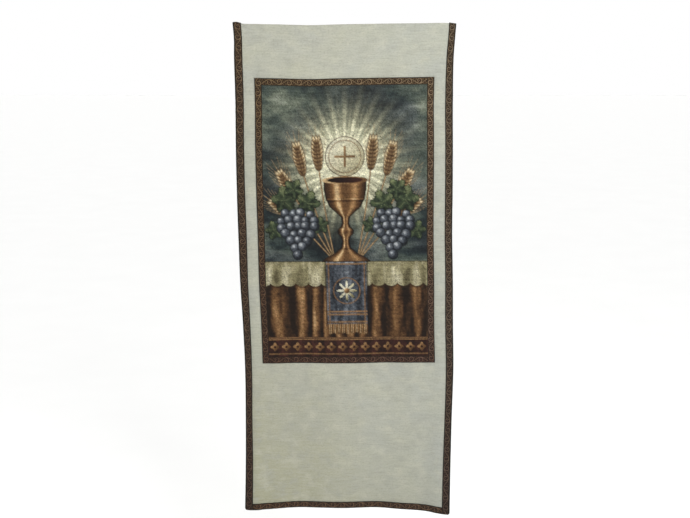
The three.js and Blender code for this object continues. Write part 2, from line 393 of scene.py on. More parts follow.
def ribbed_cream_cotton():
    """Unbleached cotton, plain woven with thick crosswise threads: a matt cloth whose fine rib and
    uneven slubs run across it, greyer in patches from handling. Painted shade makes it darker and
    yellower low on its left, and painted cool light makes it cooler and a little darker on its right.
    The rib is drawn three times as coarse as it is, so that it shows."""
    material, tree, shader = new_material("ribbed_cream_cotton")
    flat = node(tree, "UVMap", uv_map="flat")
    across, down = node(tree, "SeparateXYZ", [flat]).node.outputs[:2]
    # Where the painted shade grows, towards the lower left
    painted_shade_low_left = node(tree, "Math", [across, -0.9, down], operation="MULTIPLY_ADD")
    patches = {"right": across, "painted_shade_low_left": painted_shade_low_left}
    for name, (wide, tall, detail, roughness) in COTTON_PATCHES.items():
        place = node(tree, "Mapping", {"Vector": flat, "Scale": (1 / (wide * MM), 1 / (tall * MM), 1)})
        patches[name] = node(tree, "TexNoise", [place, 1, detail, roughness])
    colour = linear("#b8b8a6")
    for name, low, high, full, tint in COTTON_TINTS:
        share = node(tree, "MapRange", [patches[name], low, high, 0, full])
        colour = node(tree, "Mix", [share, colour, linear(tint)], data_type="RGBA")
    waves = []
    for way, pitch in ((across, WARP_PITCH), (down, RIB_PITCH)):
        turn = node(tree, "Math", [way, 2 * math.pi / pitch], operation="MULTIPLY")
        waves.append(node(tree, "Math", [turn], operation="SINE"))
    woven = node(tree, "Math", [waves[0], 0.3, waves[1]], operation="MULTIPLY_ADD")
    relief = node(tree, "Math", [patches["slub"], 1.8, woven], operation="MULTIPLY_ADD")
    bump = node(tree, "Bump", {"Strength": 0.5, "Distance": 0.35 * MM, "Height": relief})
    fill(shader, {"Base Color": colour, "Normal": bump, "Roughness": 0.93, "Specular IOR Level": 0.2,
                  "Sheen Weight": 0.12, "Sheen Roughness": 0.5})
    return material


def cloth_back(across, along):
    """The back of the cloth, thicker over the hem at the end of the turned-over top"""
    in_hem = smoothstep(-along, TURNOVER - HEM_WIDTH - HEM_STEP, TURNOVER - HEM_WIDTH)
    return -CLOTH_FACE - HEM_THICKNESS * in_hem


CLOTH_SPACING = 4.4 * MM
LINES_FROM_EDGE = (10 * MM, 4 * MM)
FOLD_LINES = 13
side_lines = [BRAID_INNER, *(HALF_WIDTH - inset for inset in LINES_FROM_EDGE), CLOTH_HALF_WIDTH]
cloth_across = spaced([-place for place in reversed(side_lines)] + side_lines, CLOTH_SPACING)
fold_lines = np.linspace(-QUARTER_TURN, QUARTER_TURN, FOLD_LINES)
hem_lines = [-TURNOVER, HEM_WIDTH - TURNOVER, HEM_WIDTH - TURNOVER + HEM_STEP]
cloth_along = np.concatenate([
    spaced([*hem_lines, -QUARTER_TURN], CLOTH_SPACING)[:-1],
    fold_lines,
    spaced([QUARTER_TURN, PANEL_TOP, PANEL_BOTTOM, LOWER_BRAID_TOP, CLOTH_FALL], CLOTH_SPACING)[1:],
])
ground = add_sheet("long_cream_cloth", cloth_across, cloth_along, cloth_back, CLOTH_FACE,
                   ribbed_cream_cotton())
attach(ground, "root")
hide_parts("ground_cloth")

# Picture panel
# A picture woven in many colours of fine yarn, in one piece with the scroll frame round it, and
# sewn flat on the face of the cloth. It shows a plain cup under rays, with wheat, vine and linen.
FRAME_WIDTH = 16.5 * MM
PANEL_THICKNESS = 1.2 * MM
PANEL_FACE = SEWN_ON + PANEL_THICKNESS
PANEL_SPACING = 1.8 * MM
BACK_COARSER = 4
FRAME_SELVAGES = (1.8 * MM, 1.8 * MM)
FIELD_HALF_WIDTH = PANEL_HALF_WIDTH - FRAME_WIDTH
FIELD_TOP = PANEL_TOP + FRAME_WIDTH
FIELD_BOTTOM = PANEL_BOTTOM - FRAME_WIDTH

# The picture's own sizes are in millimetres, across from its middle line and down from its top
FIELD_WIDE = FIELD_HALF_WIDTH / MM * 2
TABLE_TOP = 404
YARN_EDGE = 1.6
SKY_YARNS = ("#151c20", "#2b3535", "#4a534b", "#6b7263", "#8f9485")
GLOW_YARNS = ("#62665a", "#8f9079", "#bab899", "#dcd9bb")
GOLD_YARNS = ("#1e140d", "#442e1b", "#6c4d2f", "#9a764e", "#cfb285")
SLATE_YARNS = ("#121418", "#2a2e34", "#4a4f56", "#6f7479", "#adb0b2")
LEAF_YARNS = ("#141a14", "#283124", "#434e36", "#6d7451")
STRAW_YARNS = ("#3b2a1b", "#6e5438", "#a48861", "#d3c19a")
LINEN_YARNS = ("#4d4631", "#87805f", "#b5ae8f", "#d9d5bd")
BASE_YARNS = ("#120c0a", "#2a1712", "#482820", "#6b4734")
CUP = {
    "down": [214, 236, 258, 276, 290, 300, 314, 322, 330, 338, 346, 358, 370, 384, 396, 403],
    "half": [48, 47, 43, 34, 19, 8, 6, 9, 17, 17, 9, 6.5, 9, 24, 46, 54],
}
WHEAT = {
    "tip_across": [66, 112, 152, 172],
    "tip_down": [118, 132, 196, 262],
    "bow": [10, 22, 26, 20],
}
VINE = {
    "across": [86, 142, 58, 168, 120],
    "down": [268, 262, 318, 330, 236],
    "size": [27, 30, 19, 21, 22],
    "turn": [0.3, -0.5, 1.9, -1.6, 0.1],
}
GLOW_DOWN = 180
RAY_PAIRS = 14
WAFER_DOWN = 160
WAFER_RADIUS = 46
CROSS_HALF = 2.6
CROSS_REACH = 24
BOWL_BAND = 258
KNOP_DOWN = 330
FOOT_BAND = 374
GRAPES_ACROSS = 112
GRAPES_DOWN = 292
GRAPE_ROWS = (4, 5, 5, 4, 3, 2, 1)
GRAPE = 11
GRAPES_BESIDE = 1.66 * GRAPE
GRAPES_BELOW = 1.42 * GRAPE
STALK_FOOT = 26
EAR_PAIRS = 8
EAR_STEP = 8.6
EAR_HALF_WIDTH = 5.4
EAR_OPENS = 0.42
GRAIN_LONG = 9.2
GRAIN_WIDE = 4.4
LINEN_EDGE = 452
SCALLOP = 30
HOLE_PITCH = 10
BAND_TOP = 586
ROSETTE_DOWN = 610
ROSETTE_PITCH = 27
RUNNER_HALF = 47
RUNNER_END = 556
FLOWER_DOWN = 474
NOISE_PLACES = 96
NOISE_START = (40.3, 7.7)


def between_yarns(shade, yarns):
    """The colour at a shade from 0 to 1 along a row of dyed yarns, dark to light"""
    dyed = np.array([linear(yarn)[:3] for yarn in yarns])
    stops = np.linspace(0, 1, len(yarns))
    return np.stack([np.interp(shade, stops, dyed[:, part]) for part in range(3)], -1)


def mottle(across, down, size, seed):
    """Smooth uneven patches of about a size, or of a width and height, from 0 to 1"""
    wide, tall = np.broadcast_to(size, 2)
    chance = np.random.default_rng(seed).random((NOISE_PLACES, NOISE_PLACES))
    column, row = across / wide + NOISE_START[0], down / tall + NOISE_START[1]
    left, upper = np.floor(column).astype(int), np.floor(row).astype(int)
    x, y = smoothstep(column - left, 0, 1), smoothstep(row - upper, 0, 1)
    patches = 0
    for right, share_across in ((0, 1 - x), (1, x)):
        for lower, share_down in ((0, 1 - y), (1, y)):
            place = (upper + lower) % NOISE_PLACES, (left + right) % NOISE_PLACES
            patches = patches + chance[place] * share_across * share_down
    return patches


def inside(distance):
    """How far a thread takes a shape's colour, from its distance outside the shape's line"""
    return np.clip(0.5 - distance / YARN_EDGE, 0, 1)


def lay_in(picture, share, shade, yarns):
    """Weave a shape into the picture in its own yarns"""
    colour = between_yarns(np.clip(shade, 0, 1), yarns)
    picture += share[:, None] * (colour - picture)


def weave_sky(picture, across, down):
    """Dark clouds, paler on the right, with a pale glow and straight rays over the cup"""
    clouds = 0.45 * mottle(across, down, (110, 50), 1) + 0.35 * mottle(across, down, (46, 21), 2)
    clouds += 0.2 * mottle(across, down, (17, 9), 3)
    shade = 0.32 + 1.45 * (clouds - 0.5) + 0.06 * across / FIELD_WIDE - 0.06 * smoothstep(down, 90, 420)
    lay_in(picture, np.ones_like(across), shade, SKY_YARNS)
    bluer = 0.5 * smoothstep(mottle(across, down, (80, 44), 18), 0.45, 0.8)
    lay_in(picture, bluer, 0.9 * shade, SLATE_YARNS)
    away = np.hypot(across, down - GLOW_DOWN)
    turn = RAY_PAIRS * np.arctan2(down - GLOW_DOWN, across)
    rays = np.abs(np.cos(turn)) ** 3 + 0.45 * np.abs(np.sin(turn)) ** 12
    glow = np.exp(-((away / 102) ** 2.4)) + 0.66 * rays * np.exp(-((away / 142) ** 3))
    glow *= 0.84 + 0.32 * mottle(across, down, 7, 4)
    lay_in(picture, np.clip(glow, 0, 1), 0.25 + 0.64 * glow, GLOW_YARNS)


def weave_wafer(picture, across, down):
    """A plain round wafer over the cup, with a ring and a simple cross pressed in it"""
    x, y = across, down - WAFER_DOWN
    past_rim = np.hypot(x, y) - WAFER_RADIUS
    lay_in(picture, inside(past_rim), 0.1, STRAW_YARNS)
    lay_in(picture, inside(past_rim + 2), 0.74 - 0.14 * (x + y) / (WAFER_RADIUS - 2), LINEN_YARNS)
    lay_in(picture, inside(np.abs(past_rim + 9) - 0.9), 0.42, STRAW_YARNS)
    upright = np.maximum(np.abs(x) - CROSS_HALF, np.abs(y) - CROSS_REACH)
    level = np.maximum(np.abs(y) - CROSS_HALF, np.abs(x) - CROSS_REACH)
    lay_in(picture, inside(np.minimum(upright, level)), 0.4 - 0.1 * (x + y) / CROSS_REACH, STRAW_YARNS)


def weave_cup(picture, across, down):
    """A standing cup of gold: a deep bowl, a stem with a round knop, and a spreading foot"""
    top, foot, mouth = CUP["down"][0], CUP["down"][-1], CUP["half"][0]
    half = np.interp(down, CUP["down"], CUP["half"])
    side = across / half
    reach = np.maximum(np.abs(across) - half, np.maximum(top - down, down - foot))
    shade = 0.38 - 0.3 * np.abs(side) ** 4
    shade += 0.6 * np.exp(-(((side + 0.42) / 0.2) ** 2)) + 0.4 * np.exp(-(((side - 0.5) / 0.22) ** 2))
    shade -= 0.22 * smoothstep(-np.abs(down - BOWL_BAND - 4), -3.5, -1.5)
    shade -= 0.2 * smoothstep(-np.abs(down - FOOT_BAND), -3, -1)
    shade += 0.2 * smoothstep(-np.abs(down - BOWL_BAND), -2.5, -1)
    shade += 0.12 * np.cos(down / 2.6) * (np.abs(down - KNOP_DOWN) < 9)
    lay_in(picture, inside(reach - 2.4), 0, BASE_YARNS)
    lay_in(picture, inside(reach), shade, GOLD_YARNS)
    rim = 12 * np.hypot(across / mouth, (down - top) / 8) - 12
    lay_in(picture, inside(rim - 1.4), 0.72 - 0.25 * side, GOLD_YARNS)
    lay_in(picture, inside(rim + 1.6), 0.25 + 0.3 * across / mouth, BASE_YARNS)


def weave_leaf(picture, across, down, size, turn):
    """A vine leaf: five lobes with a toothed edge, and a pale vein in each"""
    away = np.hypot(across, down)
    angle = np.arctan2(across, down) + turn
    lobes, teeth = np.cos(5 * angle), np.cos(25 * angle)
    edge = size * (0.88 + 0.17 * lobes + 0.05 * teeth) * (1 - 0.12 * np.cos(angle))
    shade = 0.3 + 0.32 * lobes * away / size - 0.012 * down + 0.34 * mottle(across, down, 5, 5)
    lay_in(picture, inside(away - edge - 2), 0, LEAF_YARNS)
    lay_in(picture, inside(away - edge), shade, LEAF_YARNS)
    vein = np.abs(np.sin(2.5 * angle)) * away - 0.5
    lay_in(picture, inside(vein) * (away < 0.8 * edge), 0.95, LEAF_YARNS)


def weave_grapes(picture, across, down):
    """A hanging bunch, each grape lit from its upper left"""
    chance = np.random.default_rng(6)
    for row, count in enumerate(GRAPE_ROWS):
        for place in range(count):
            size = GRAPE * chance.uniform(0.88, 1.08)
            x = across - (place - (count - 1) / 2) * GRAPES_BESIDE - chance.uniform(-3, 3)
            y = down - row * GRAPES_BELOW - chance.uniform(-3, 3)
            away = np.hypot(x, y)
            shade = chance.uniform(0.78, 1.02) - np.hypot(x + 3.4, y + 4) / (1.6 * size)
            shade += 0.36 * np.exp(-(np.hypot(x + 3.6, y + 4.2) / 2.4) ** 2)
            shade += 0.24 * (mottle(across, down, 3, 16) - 0.5)
            lay_in(picture, inside(away - size - 0.8), 0.02, SLATE_YARNS)
            lay_in(picture, inside(away - size + 0.8), shade, SLATE_YARNS)


def weave_wheat(picture, across, down, tip_across, tip_down, bow):
    """An ear of wheat on a bowed stalk: grains in pairs up the stalk, with a long beard"""
    share = np.linspace(0, 1, 25)
    stalk_x = STALK_FOOT + (tip_across - STALK_FOOT) * share + bow * np.sin(np.pi * share) * 0.6
    stalk_y = TABLE_TOP + (tip_down - TABLE_TOP) * share - bow * np.sin(np.pi * share)
    stalk = np.full_like(across, 99)
    for x, y, next_x, next_y in zip(stalk_x, stalk_y, stalk_x[1:], stalk_y[1:]):
        run_x, run_y = next_x - x, next_y - y
        part = ((across - x) * run_x + (down - y) * run_y) / (run_x ** 2 + run_y ** 2)
        part = np.clip(part, 0, 1)
        stalk = np.minimum(stalk, np.hypot(across - x - part * run_x, down - y - part * run_y))
    lay_in(picture, inside(stalk - 1.7), 0.1, STRAW_YARNS)
    lay_in(picture, inside(stalk - 0.9), 0.66, STRAW_YARNS)
    lean = math.atan2(stalk_x[-1] - stalk_x[-4], stalk_y[-4] - stalk_y[-1])
    for pair in range(EAR_PAIRS):
        below_tip = (EAR_PAIRS - pair) * EAR_STEP
        full = 0.55 + 0.45 * math.sin(math.pi * (pair + 0.6) / EAR_PAIRS)
        for side in (-1, 0, 1):
            turn = lean + side * EAR_OPENS * full
            beside = side * EAR_HALF_WIDTH * full
            root_x = tip_across - math.sin(lean) * below_tip + beside * math.cos(lean)
            root_y = tip_down + math.cos(lean) * below_tip + beside * math.sin(lean)
            x, y = across - root_x - 6 * math.sin(turn), down - root_y + 6 * math.cos(turn)
            long_way = -y * math.cos(turn) + x * math.sin(turn)
            short_way = x * math.cos(turn) + y * math.sin(turn)
            beard = np.maximum(np.abs(short_way) - 0.3, np.abs(long_way - 19) - 18)
            lay_in(picture, 0.65 * inside(beard), 0.7, STRAW_YARNS)
            wide = GRAIN_WIDE * (0.3 + 0.7 * full)
            grain = (np.hypot(long_way / GRAIN_LONG, short_way / wide) - 1) * wide
            lay_in(picture, inside(grain - 0.9), 0.12, STRAW_YARNS)
            lay_in(picture, inside(grain + 0.4), 0.7 + 0.08 * long_way - 0.05 * short_way, STRAW_YARNS)


def weave_table(picture, across, down):
    """A table under pleated cloth of gold, with a scalloped linen over it and a dark lower band"""
    below = inside(TABLE_TOP - down)
    pleat = across / 34 + 0.45 * np.sin(across / 41 + 0.6) + 0.12 * np.sin(down / 55 + across / 23)
    depth = 0.5 + 0.5 * mottle(across, down, (44, 400), 17)
    shade = 0.8 * depth * np.sin(np.pi * (pleat % 1) ** 0.62) ** 2.4 - 0.14 * smoothstep(down, 540, 640)
    shade += 0.36 * (mottle(across, down, (6, 34), 7) - 0.5) + 0.2 * (mottle(across, down, 5, 8) - 0.5)
    lay_in(picture, below, shade, GOLD_YARNS)
    shade = 0.3 + 0.4 * shade + 0.25 * (mottle(across, down, 6, 9) - 0.5)
    lay_in(picture, inside(BAND_TOP - down), shade, BASE_YARNS)
    x, y = across % ROSETTE_PITCH - ROSETTE_PITCH / 2, down - ROSETTE_DOWN
    petals = np.hypot(x, y) - 8.4 - 2.2 * np.cos(4 * np.arctan2(y, x))
    lay_in(picture, inside(petals), 0.55 - 0.02 * (x + y), GOLD_YARNS)
    lay_in(picture, inside(np.hypot(x, y) - 3), 0.3, BASE_YARNS)
    for line in (588, 592, 627):
        lay_in(picture, inside(np.abs(down - line) - 0.9), 0.66, GOLD_YARNS)
    in_scallop = across % SCALLOP - SCALLOP / 2
    edge = down - LINEN_EDGE - 11 * np.sqrt(np.clip(1 - (in_scallop / 15.5) ** 2, 0, 1))
    lay_in(picture, 0.7 * inside(edge - 5) * below, 0.05, GOLD_YARNS)
    crease = 0.4 + 0.28 * np.sin(across / 7.5 + 2 * np.sin(across / 31)) * smoothstep(down, TABLE_TOP, 440)
    crease += 0.3 * (mottle(across, down, (7, 22), 10) - 0.5)
    crease -= 0.5 * smoothstep(-down, -TABLE_TOP - 3, -TABLE_TOP)
    lay_in(picture, inside(edge) * below, crease, LINEN_YARNS)
    lay_in(picture, 0.8 * inside(np.abs(edge + 3.4) - 0.7) * below, 0.2, LINEN_YARNS)
    for row in (437, 443, 449):
        hole = np.hypot(across % HOLE_PITCH - HOLE_PITCH / 2, down - row) - 1.5
        lay_in(picture, 0.75 * inside(hole) * below, 0.1, LINEN_YARNS)


def weave_runner(picture, across, down):
    """A slate blue runner over the middle of the table, with gold bands, a flower and a fringe"""
    x, y = across, down - FLOWER_DOWN
    past_side = np.abs(x) - RUNNER_HALF
    cloth = np.maximum(past_side, np.maximum(TABLE_TOP - down, down - RUNNER_END))
    shade = 0.42 + 0.12 * np.sin(x / 9 + 1.2) + 0.4 * (mottle(across, down, (5, 30), 11) - 0.5)
    shade += 0.3 * (mottle(across, down, 4, 12) - 0.5)
    shade += 0.35 * smoothstep(-down, -TABLE_TOP - 7, -TABLE_TOP - 2)
    lay_in(picture, 0.7 * inside(cloth - 4), 0, SLATE_YARNS)
    lay_in(picture, inside(cloth), shade, SLATE_YARNS)
    away, angle = np.hypot(x, y), np.arctan2(y, x)
    petals = away - 15 - 9 * np.cos(8 * angle)
    lay_in(picture, inside(petals - 2.2), 0.1, SLATE_YARNS)
    lay_in(picture, inside(petals), 0.82 - 0.02 * (x + y) - 0.16 * np.cos(16 * angle), LINEN_YARNS)
    lay_in(picture, inside(away - 6.5), 0.6 - 0.05 * (x + y), GOLD_YARNS)
    lay_in(picture, inside(np.abs(away - 31) - 1), 0.6, GOLD_YARNS)
    for line in (410, 524, 531, 549):
        lay_in(picture, inside(np.maximum(cloth, np.abs(down - line) - 1.5)), 0.68, GOLD_YARNS)
    lay_in(picture, inside(np.maximum(cloth, np.abs(past_side + 5) - 1.1)), 0.6, GOLD_YARNS)
    fringe_end = RUNNER_END + 20 + 2 * np.cos(x * 1.9)
    fringe = np.maximum(past_side, np.maximum(RUNNER_END - 2 - down, down - fringe_end))
    lay_in(picture, inside(fringe), 0.5 + 0.4 * np.cos(x * 1.45), GOLD_YARNS)


def weave_picture(across, down):
    """The colour of each thread crossing of the picture, from its far motifs to its near ones"""
    picture = np.zeros((len(across), 3))
    weave_sky(picture, across, down)
    for side in (-1, 1):
        for ear in zip(*WHEAT.values()):
            weave_wheat(picture, side * across, down, *ear)
    weave_table(picture, across, down)
    weave_runner(picture, across, down)
    for side in (-1, 1):
        for place, height, size, turn in zip(*VINE.values()):
            weave_leaf(picture, side * across - place, down - height, size, turn)
        weave_grapes(picture, across - side * GRAPES_ACROSS, down - GRAPES_DOWN)
    weave_wafer(picture, across, down)
    weave_cup(picture, across, down)
    chance = np.random.default_rng(13)
    streak = mottle(across, down, (30, 2.6), 14) - 0.5
    worn = mottle(across, down, 4.5, 15) - 0.5
    grain = chance.normal(0, 0.22, len(across)) + 0.42 * streak + 0.3 * worn
    return np.clip(picture * (1 + grain)[:, None], 0, 1)


FLOAT_STEP = 0.27


def threads(tree, flat, long, wide, unlike):
    """Rows of short floats of yarn, each row stepped along. Gives a shade, near 1, by which floats are
    unlike each other, with painted shade between the floats and a painted highlight on each float's
    middle, and their relief"""
    rows = node(tree, "VectorMath", [flat, (1 / long, 1 / wide, 0)], operation="MULTIPLY")
    along, across = node(tree, "SeparateXYZ", [rows]).node.outputs[:2]
    row = node(tree, "Math", [across], operation="FLOOR")
    staggered = node(tree, "Math", [row, FLOAT_STEP, along], operation="MULTIPLY_ADD")
    placed = node(tree, "CombineXYZ", [staggered, across])
    whole = node(tree, "VectorMath", [placed], operation="FLOOR")
    chance = node(tree, "TexWhiteNoise", [whole], noise_dimensions="2D")
    part = node(tree, "VectorMath", [placed], operation="FRACTION")
    turn = node(tree, "VectorMath", [part, math.pi], operation="SCALE")
    wave = node(tree, "VectorMath", [turn], operation="SINE")
    round_along, round_across = node(tree, "SeparateXYZ", [wave]).node.outputs[:2]
    rise = node(tree, "Math", [round_along, round_across], operation="MULTIPLY")
    shade = node(tree, "MapRange", [chance, 0, 1, 1 - unlike, 1 + unlike])
    # Painted shade between the floats, and a painted highlight on the middle of each
    between = node(tree, "MapRange", [rise, 0, 0.9, 0.74, 1.1])
    tone = node(tree, "Math", [shade, between], operation="MULTIPLY")
    return tone, node(tree, "Math", [chance, 0.5, rise], operation="MULTIPLY_ADD")


def woven_picture_yarn():
    """Fine cotton and wool yarns, each shade mixed from a few threads: matt, grained thread by thread,
    with painted shade between the threads and a painted highlight on each one's middle. Threads are
    drawn 0.7 mm wide, coarser than they are, so that they show."""
    material, tree, shader = new_material("woven_picture_yarn")
    colour = node(tree, "VertexColor", layer_name="yarn")
    flat = node(tree, "UVMap", uv_map="flat")
    tone, relief = threads(tree, flat, 1.4 * MM, 0.7 * MM, 0.26)
    mixed = node(tree, "VectorMath", [colour, tone], operation="SCALE")
    bump = node(tree, "Bump", {"Strength": 0.5, "Distance": 0.3 * MM, "Height": relief})
    fill(shader, {"Base Color": mixed, "Normal": bump, "Roughness": 0.9, "Specular IOR Level": 0.25,
                  "Sheen Weight": 0.1})
    return material


CURL_PITCH = 23 * MM
STEM_SWING = 5.2 * MM
LINE_WIDTH = 1.9 * MM
CURL_RADIUS = 4.6 * MM
CURL_OPENS = 0.9 * MM
CURL_CENTRE = -1.3 * MM
FLOWER_RADIUS = 2.5 * MM
PETALS = 5
PETAL_DEPTH = 0.5 * MM
EYE_RADIUS = 0.8 * MM
SOFT_EDGE = 0.3 * MM
WORN_PATCH = 11 * MM
FADED_PATCH = 45 * MM
# Leaves on both sides of each curl, in millimetres from the middle of its bend, and in degrees
LEAVES = {
    "along": [7.6, 10, 5.2, 9.4],
    "beside": [-4.9, 5.2, 6.6, -1.6],
    "turn": [-38, 28, -24, 62],
    "long": [3.4, 3, 1.9, 2.2],
    "wide": [1.5, 1.3, 0.9, 1],
}


def scroll_weave(name, width, selvages, yarns, painted_light):
    """A figured weave in wool and cotton: a pale running scroll with a curl in each bend round a small
    flower, and leaves between, on brown with a dark selvage down both edges. Matt, with its scroll
    raised. Painted shade makes it darker towards its lower end, and painted warm light makes it warmer
    and a little darker on the left of the hanging. Its threads are drawn twice as coarse as they are,
    so that they show, with painted shade between them."""
    material, tree, shader = new_material(name)
    inner_selvage, outer_selvage = selvages
    strip = node(tree, "UVMap", uv_map="scroll")
    along, beside = node(tree, "SeparateXYZ", [strip]).node.outputs[:2]
    level = node(tree, "Math", [beside, (inner_selvage - outer_selvage) / 2], operation="SUBTRACT")
    turn = node(tree, "Math", [along, math.pi / CURL_PITCH], operation="MULTIPLY")
    wave = node(tree, "Math", [turn], operation="SINE")
    above_stem = node(tree, "Math", [wave, -STEM_SWING, level], operation="MULTIPLY_ADD")
    from_stem = node(tree, "Math", [above_stem], operation="ABSOLUTE")
    side = node(tree, "Math", [wave], operation="SIGN")
    y = node(tree, "Math", [level, side], operation="MULTIPLY")
    start = node(tree, "Math", [along, CURL_PITCH / 2], operation="SUBTRACT")
    x = node(tree, "Math", [start, CURL_PITCH / 2, -CURL_PITCH / 2], operation="WRAP")
    in_bend = node(tree, "CombineXYZ", [x, y])
    away = node(tree, "VectorMath", [in_bend, (0, CURL_CENTRE, 0)], operation="DISTANCE")
    below = node(tree, "Math", [CURL_CENTRE, y], operation="SUBTRACT")
    angle = node(tree, "Math", [x, below], operation="ARCTAN2")
    curl = node(tree, "Math", [angle, CURL_OPENS / math.pi, CURL_RADIUS], operation="MULTIPLY_ADD")
    off_curl = node(tree, "Math", [away, curl], operation="SUBTRACT")
    from_curl = node(tree, "Math", [off_curl], operation="ABSOLUTE")
    tip = node(tree, "MapRange", [angle, 0.2 - math.pi, 0.8 - math.pi, LINE_WIDTH, 0])
    root = node(tree, "MapRange", [angle, math.pi - 0.4, math.pi, 0, LINE_WIDTH])
    for end in (tip, root):
        from_curl = node(tree, "Math", [from_curl, end], operation="ADD")
    from_line = node(tree, "Math", [from_stem, from_curl], operation="MINIMUM")
    line = node(tree, "MapRange", [from_line, LINE_WIDTH * 0.3, LINE_WIDTH * 0.7, 1, 0])
    petal_turn = node(tree, "Math", [angle, PETALS], operation="MULTIPLY")
    petal_wave = node(tree, "Math", [petal_turn], operation="COSINE")
    petal_edge = node(tree, "Math", [petal_wave, PETAL_DEPTH, FLOWER_RADIUS], operation="MULTIPLY_ADD")
    past_petal = node(tree, "Math", [away, petal_edge], operation="SUBTRACT")
    flower = node(tree, "MapRange", [past_petal, -SOFT_EDGE, SOFT_EDGE, 1, 0])
    eye = node(tree, "MapRange", [away, EYE_RADIUS * 0.75, EYE_RADIUS * 1.25, 1, 0])
    off_middle = node(tree, "Math", [x], operation="ABSOLUTE")
    both_sides = node(tree, "CombineXYZ", [off_middle, y])
    nearest = 2.0
    for root_along, root_beside, degrees, long, wide in zip(*LEAVES.values()):
        blade = node(tree, "Mapping", [both_sides, (root_along * MM, root_beside * MM, 0),
                                       (0, 0, math.radians(degrees)), (long * MM, wide * MM, 1)],
                     vector_type="TEXTURE")
        on_rib, off_rib = node(tree, "SeparateXYZ", [blade]).node.outputs[:2]
        from_rib = node(tree, "Math", [off_rib], operation="ABSOLUTE")
        outline = node(tree, "Math", [on_rib, on_rib, from_rib], operation="MULTIPLY_ADD")
        nearest = node(tree, "Math", [nearest, outline], operation="MINIMUM")
    leaf = node(tree, "MapRange", [nearest, 0.8, 1.2, 1, 0])
    wear = node(tree, "TexNoise", [strip, 1 / WORN_PATCH, 3, 0.6])
    worn = node(tree, "MapRange", [wear, 0.3, 0.7, 0.5, 1])
    line_or_eye = node(tree, "Math", [line, eye], operation="MAXIMUM")
    pale = node(tree, "Math", [line_or_eye, worn], operation="MULTIPLY")
    off_level = node(tree, "Math", [level], operation="ABSOLUTE")
    ground_half = (width - inner_selvage - outer_selvage) / 2
    at_edge = node(tree, "MapRange", [off_level, ground_half - SOFT_EDGE, ground_half + SOFT_EDGE, 0, 1])
    colour = linear(yarns["ground"])
    for share, yarn in ((flower, "flower"), (leaf, "leaf"), (pale, "scroll"), (at_edge, "selvage")):
        colour = node(tree, "Mix", [share, colour, linear(yarns[yarn])], data_type="RGBA")
    flat = node(tree, "UVMap", uv_map="flat")
    across, down = node(tree, "SeparateXYZ", [flat]).node.outputs[:2]
    # Painted shade towards the lower end and painted warm light on the left, multiplied into the colour
    low = node(tree, "MapRange", [down, 0, painted_light["length"], 0, 1])
    left = node(tree, "MapRange", [across, HALF_WIDTH, -HALF_WIDTH, 0, 1])
    for share, place in ((low, "low"), (left, "left")):
        tint = node(tree, "Mix", [share, (1, 1, 1, 1), linear(painted_light[place])], data_type="RGBA")
        colour = node(tree, "VectorMath", [colour, tint], operation="MULTIPLY")
    tone, relief = threads(tree, strip, 1.1 * MM, 0.6 * MM, 0.3)
    fading = node(tree, "TexNoise", [strip, 1 / FADED_PATCH, 2, 0.6])
    faded = node(tree, "MapRange", [fading, 0.3, 0.7, 0.84, 1.16])
    tone = node(tree, "Math", [tone, faded], operation="MULTIPLY")
    mixed = node(tree, "VectorMath", [colour, tone], operation="SCALE")
    height = node(tree, "Math", [pale, 1.2, relief], operation="MULTIPLY_ADD")
    bump = node(tree, "Bump", {"Strength": 0.5, "Distance": 0.3 * MM, "Height": height})
    fill(shader, {"Base Color": mixed, "Normal": bump, "Roughness": 0.86, "Specular IOR Level": 0.3,
                  "Sheen Weight": 0.15})
    return material


def face_corners(mesh):
    """Where all corners of faces lie on the flat cloth, how many each face has, and its middle"""
    counts = np.empty(len(mesh.polygons), dtype=np.int32)
    mesh.polygons.foreach_get("loop_total", counts)
    flat = np.empty(2 * len(mesh.loops), dtype=np.float32)
    mesh.uv_layers["flat"].data.foreach_get("uv", flat)
    flat = flat.reshape(-1, 2).astype(float)
    return flat, counts, np.add.reduceat(flat, np.cumsum(counts) - counts) / counts[:, None]


def add_scroll_map(obj, strip_of):
    """A second UV map, along and across each strip of the running scroll, in metres"""
    flat, counts, middles = face_corners(obj.data)
    strips = strip_of(flat, np.repeat(middles, counts, axis=0))
    obj.data.uv_layers.new(name="scroll").data.foreach_set("uv", strips.astype(np.float32).ravel())


def frame_strips(flat, middle):
    """Along and across the frame. Its upright strips run through at the corners"""
    upright = np.abs(middle[:, 0]) > FIELD_HALF_WIDTH
    beside = np.abs(flat[:, 0]) - FIELD_HALF_WIDTH - FRAME_WIDTH / 2
    half_tall = (PANEL_BOTTOM - PANEL_TOP) / 2
    above = np.abs(flat[:, 1] - PANEL_TOP - half_tall) - half_tall + FRAME_WIDTH / 2
    along = np.where(upright, flat[:, 1] - PANEL_TOP, flat[:, 0])
    return np.stack([along, np.where(upright, beside, above)], -1)


panel_across = spaced([-PANEL_HALF_WIDTH, -FIELD_HALF_WIDTH, FIELD_HALF_WIDTH, PANEL_HALF_WIDTH],
                      PANEL_SPACING)
panel_along = spaced([PANEL_TOP, FIELD_TOP, FIELD_BOTTOM, PANEL_BOTTOM], PANEL_SPACING)
panel = add_sheet("woven_picture", panel_across, panel_along, SEWN_ON, PANEL_FACE, woven_picture_yarn(),
                  coarse=BACK_COARSER)
FRAME_YARNS = {"ground": "#332413", "flower": "#46301f", "leaf": "#5f4d34", "scroll": "#907c5f",
               "selvage": "#2a2213"}
# Painted light on the frame: shade towards its lower end, warm light on its left
FRAME_PAINTED_LIGHT = {"length": PANEL_BOTTOM, "low": "#c4abbb", "left": "#e8e0cb"}
panel.data.materials.append(
    scroll_weave("woven_scroll_frame", FRAME_WIDTH, FRAME_SELVAGES, FRAME_YARNS, FRAME_PAINTED_LIGHT))
add_scroll_map(panel, frame_strips)

